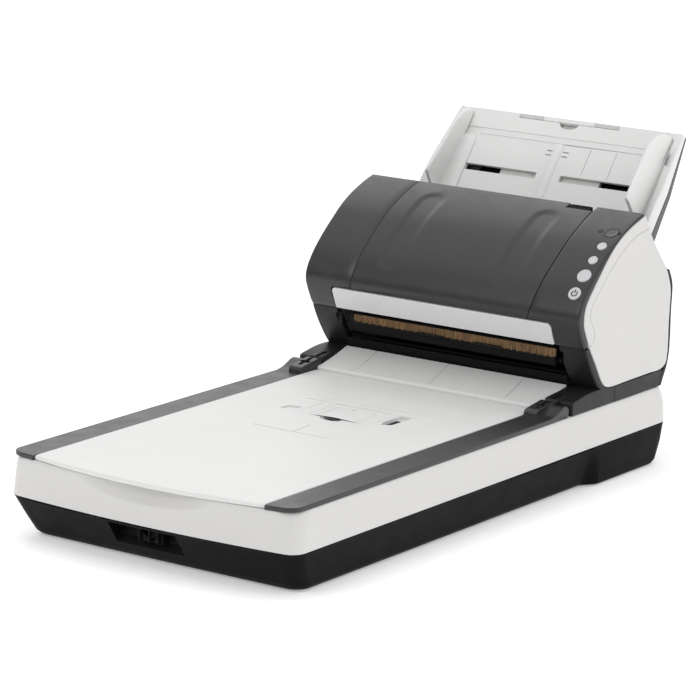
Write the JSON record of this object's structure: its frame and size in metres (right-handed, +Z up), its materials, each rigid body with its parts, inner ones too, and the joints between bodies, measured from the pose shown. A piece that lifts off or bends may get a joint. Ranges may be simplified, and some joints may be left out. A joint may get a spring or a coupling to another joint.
{
  "type": "sheet fed document scanner",
  "caption": "Flatbed document scanner with a curved dark automatic feeder, pale flat document cover, side covers and a sloping paper chute on a black tray.",
  "frame": {"origin": "centre of the footprint box, on the surface that the rubber feet stand on", "axes": "+X to the right seen from the front, +Y from the front edge of the flatbed towards the feeder and chute, +Z up"},
  "size_m": [0.3, 0.6404, 0.288],
  "materials": {
    "pale_plastic": "fine moulded texture, satin",
    "pale_grey_plastic": "fine moulded texture, satin",
    "dark_plastic": "fine moulded texture, satin",
    "black_plastic": "fine moulded texture",
    "grey_plastic": "smooth moulded",
    "button_plastic": "smooth satin",
    "display_lens": "smoked lens",
    "steel": "drawn",
    "rubber": "matt",
    "glass": "polished",
    "brush_fibre": "fine tan bristle",
    "circuit_board": "solder mask",
    "white_foam": "soft white pad"
  },
  "bodies": {
    "base": {"base_tray": "black_plastic", "base_upper_cover": "pale_grey_plastic", "platen_glass": "glass", "foot_front_left": "rubber", "foot_front_right": "rubber", "foot_rear_left": "rubber", "foot_rear_right": "rubber", "carriage_rail": "steel", "drive_belt": "rubber", "carriage_motor": "steel", "side_cover_right": "pale_plastic", "side_cover_left": "pale_plastic", "operator_panel": "dark_plastic", "front_panel_left": "dark_plastic", "status_display": "display_lens", "check_lamp": "display_lens", "cover_pivot_shaft": "steel", "adf_lower_frame": "dark_plastic", "lower_paper_guide": "black_plastic", "lower_image_sensor": "grey_plastic", "exit_ramp": "pale_plastic", "side_frame_right": "steel", "side_frame_left": "steel", "adf_motor": "steel", "main_board": "circuit_board", "rear_cover": "dark_plastic", "usb_port": "steel", "dc_inlet": "black_plastic", "chute_tray": "pale_plastic", "chute_shell": "dark_plastic"},
    "carriage": {"scan_carriage": "black_plastic"},
    "belt_drive_pulley": {"drive_pulley": "white_foam"},
    "belt_idler_pulley": {"idler_pulley": "white_foam"},
    "lock": {"transport_lock": "black_plastic"},
    "lid": {"lid_panel": "pale_plastic", "lid_strip_right": "dark_plastic", "lid_strip_left": "dark_plastic", "lid_pad": "white_foam"},
    "stopper": {"stopper_flap": "pale_plastic"},
    "cover": {"adf_cover": "dark_plastic", "upper_paper_guide": "black_plastic", "front_strip": "pale_grey_plastic", "brush_holder": "grey_plastic", "exit_brush": "brush_fibre", "upper_image_sensor": "grey_plastic"},
    "lever": {"cover_release_lever": "black_plastic"},
    "brake": {"brake_roller": "rubber"},
    "idlers": {"eject_idlers": "grey_plastic"},
    "pick": {"pick_roller": "rubber"},
    "feed": {"feed_roller": "rubber"},
    "eject": {"eject_roller": "rubber"},
    "right_guide": {"guide_right": "pale_plastic"},
    "left_guide": {"guide_left": "pale_plastic"},
    "pinion": {"guide_pinion": "white_foam"},
    "extension_1": {"extension_lower": "pale_plastic"},
    "extension_2": {"extension_upper": "pale_plastic"},
    "btn_function": {"function_button": "button_plastic"},
    "btn_send": {"send_button": "button_plastic"},
    "btn_scan": {"scan_stop_button": "button_plastic"},
    "btn_power": {"power_button": "button_plastic"}
  },
  "joints": [
    {"name": "lid_hinge", "type": "hinge", "parent": "base", "child": "lid", "pos_m": [0, 0.08379, 0.0755], "axis": [-1, 0, 0], "range_deg": [0, 70]},
    {"name": "stopper_hinge", "type": "hinge", "parent": "lid", "child": "stopper", "pos_m": [0, -0.01381, 0.0738], "axis": [-1, 0, 0], "range_deg": [0, 42]},
    {"name": "cover_hinge", "type": "hinge", "parent": "base", "child": "cover", "pos_m": [0, 0.12479, 0.111], "axis": [1, 0, 0], "range_deg": [0, 45]},
    {"name": "lever_hinge", "type": "hinge", "parent": "cover", "child": "lever", "pos_m": [0.083, 0.19879, 0.2255], "axis": [1, 0, 0], "range_deg": [0, 8], "stiffness_Nm_per_rad": 0.05},
    {"name": "brake_spin", "type": "hinge", "parent": "cover", "child": "brake", "pos_m": [0, 0.21029, 0.1741], "axis": [1, 0, 0], "continuous": true},
    {"name": "idler_spin", "type": "hinge", "parent": "cover", "child": "idlers", "pos_m": [0, 0.14019, 0.1107], "axis": [1, 0, 0], "continuous": true},
    {"name": "pick_spin", "type": "hinge", "parent": "base", "child": "pick", "pos_m": [0, 0.22629, 0.1616], "axis": [1, 0, 0], "continuous": true},
    {"name": "feed_spin", "type": "hinge", "parent": "base", "child": "feed", "pos_m": [0, 0.19409, 0.1241], "axis": [1, 0, 0], "continuous": true},
    {"name": "eject_spin", "type": "hinge", "parent": "base", "child": "eject", "pos_m": [0, 0.14519, 0.0959], "axis": [1, 0, 0], "continuous": true},
    {"name": "carriage_slide", "type": "slide", "parent": "base", "child": "carriage", "axis": [0, 1, 0], "range_m": [0, 0.3]},
    {"name": "drive_pulley_spin", "type": "hinge", "parent": "base", "child": "belt_drive_pulley", "pos_m": [0.09, 0.11679, 0.02], "axis": [1, 0, 0], "range_deg": [-2400, 0]},
    {"name": "idler_pulley_spin", "type": "hinge", "parent": "base", "child": "belt_idler_pulley", "pos_m": [0.09, -0.27821, 0.02], "axis": [1, 0, 0], "range_deg": [-2400, 0]},
    {"name": "lock_slide", "type": "slide", "parent": "base", "child": "lock", "axis": [1, 0, 0], "range_m": [0, 0.014]},
    {"name": "guide_right_slide", "type": "slide", "parent": "base", "child": "right_guide", "axis": [-1, 0, 0], "range_m": [0, 0.06]},
    {"name": "guide_left_slide", "type": "slide", "parent": "base", "child": "left_guide", "axis": [1, 0, 0], "range_m": [0, 0.06]},
    {"name": "pinion_spin", "type": "hinge", "parent": "base", "child": "pinion", "pos_m": [0, 0.25215, 0.1973], "axis": [0, -0.788, 0.6157], "range_deg": [-900, 0]},
    {"name": "extension_1_slide", "type": "slide", "parent": "base", "child": "extension_1", "axis": [0, 0.6157, 0.788], "range_m": [0, 0.07]},
    {"name": "extension_2_slide", "type": "slide", "parent": "extension_1", "child": "extension_2", "axis": [0, 0.6157, 0.788], "range_m": [0, 0.07]},
    {"name": "function_button_press", "type": "slide", "parent": "base", "child": "btn_function", "axis": [0, 0.5897, -0.8076], "range_m": [0, 0.0009], "stiffness_N_per_m": 150},
    {"name": "send_button_press", "type": "slide", "parent": "base", "child": "btn_send", "axis": [0, 0.6466, -0.7628], "range_m": [0, 0.0009], "stiffness_N_per_m": 150},
    {"name": "scan_stop_button_press", "type": "slide", "parent": "base", "child": "btn_scan", "axis": [0, 0.6466, -0.7628], "range_m": [0, 0.0009], "stiffness_N_per_m": 150},
    {"name": "power_button_press", "type": "slide", "parent": "base", "child": "btn_power", "axis": [0, 0.788, -0.6156], "range_m": [0, 0.0009], "stiffness_N_per_m": 150}
  ],
  "couplings": [
    {"joint": "eject_spin", "follows": "feed_spin", "ratio": 1.1765},
    {"joint": "drive_pulley_spin", "follows": "carriage_slide", "rad_per_m": -135},
    {"joint": "idler_pulley_spin", "follows": "carriage_slide", "rad_per_m": -135},
    {"joint": "guide_left_slide", "follows": "guide_right_slide", "ratio": 1},
    {"joint": "pinion_spin", "follows": "guide_right_slide", "rad_per_m": -238}
  ]
}
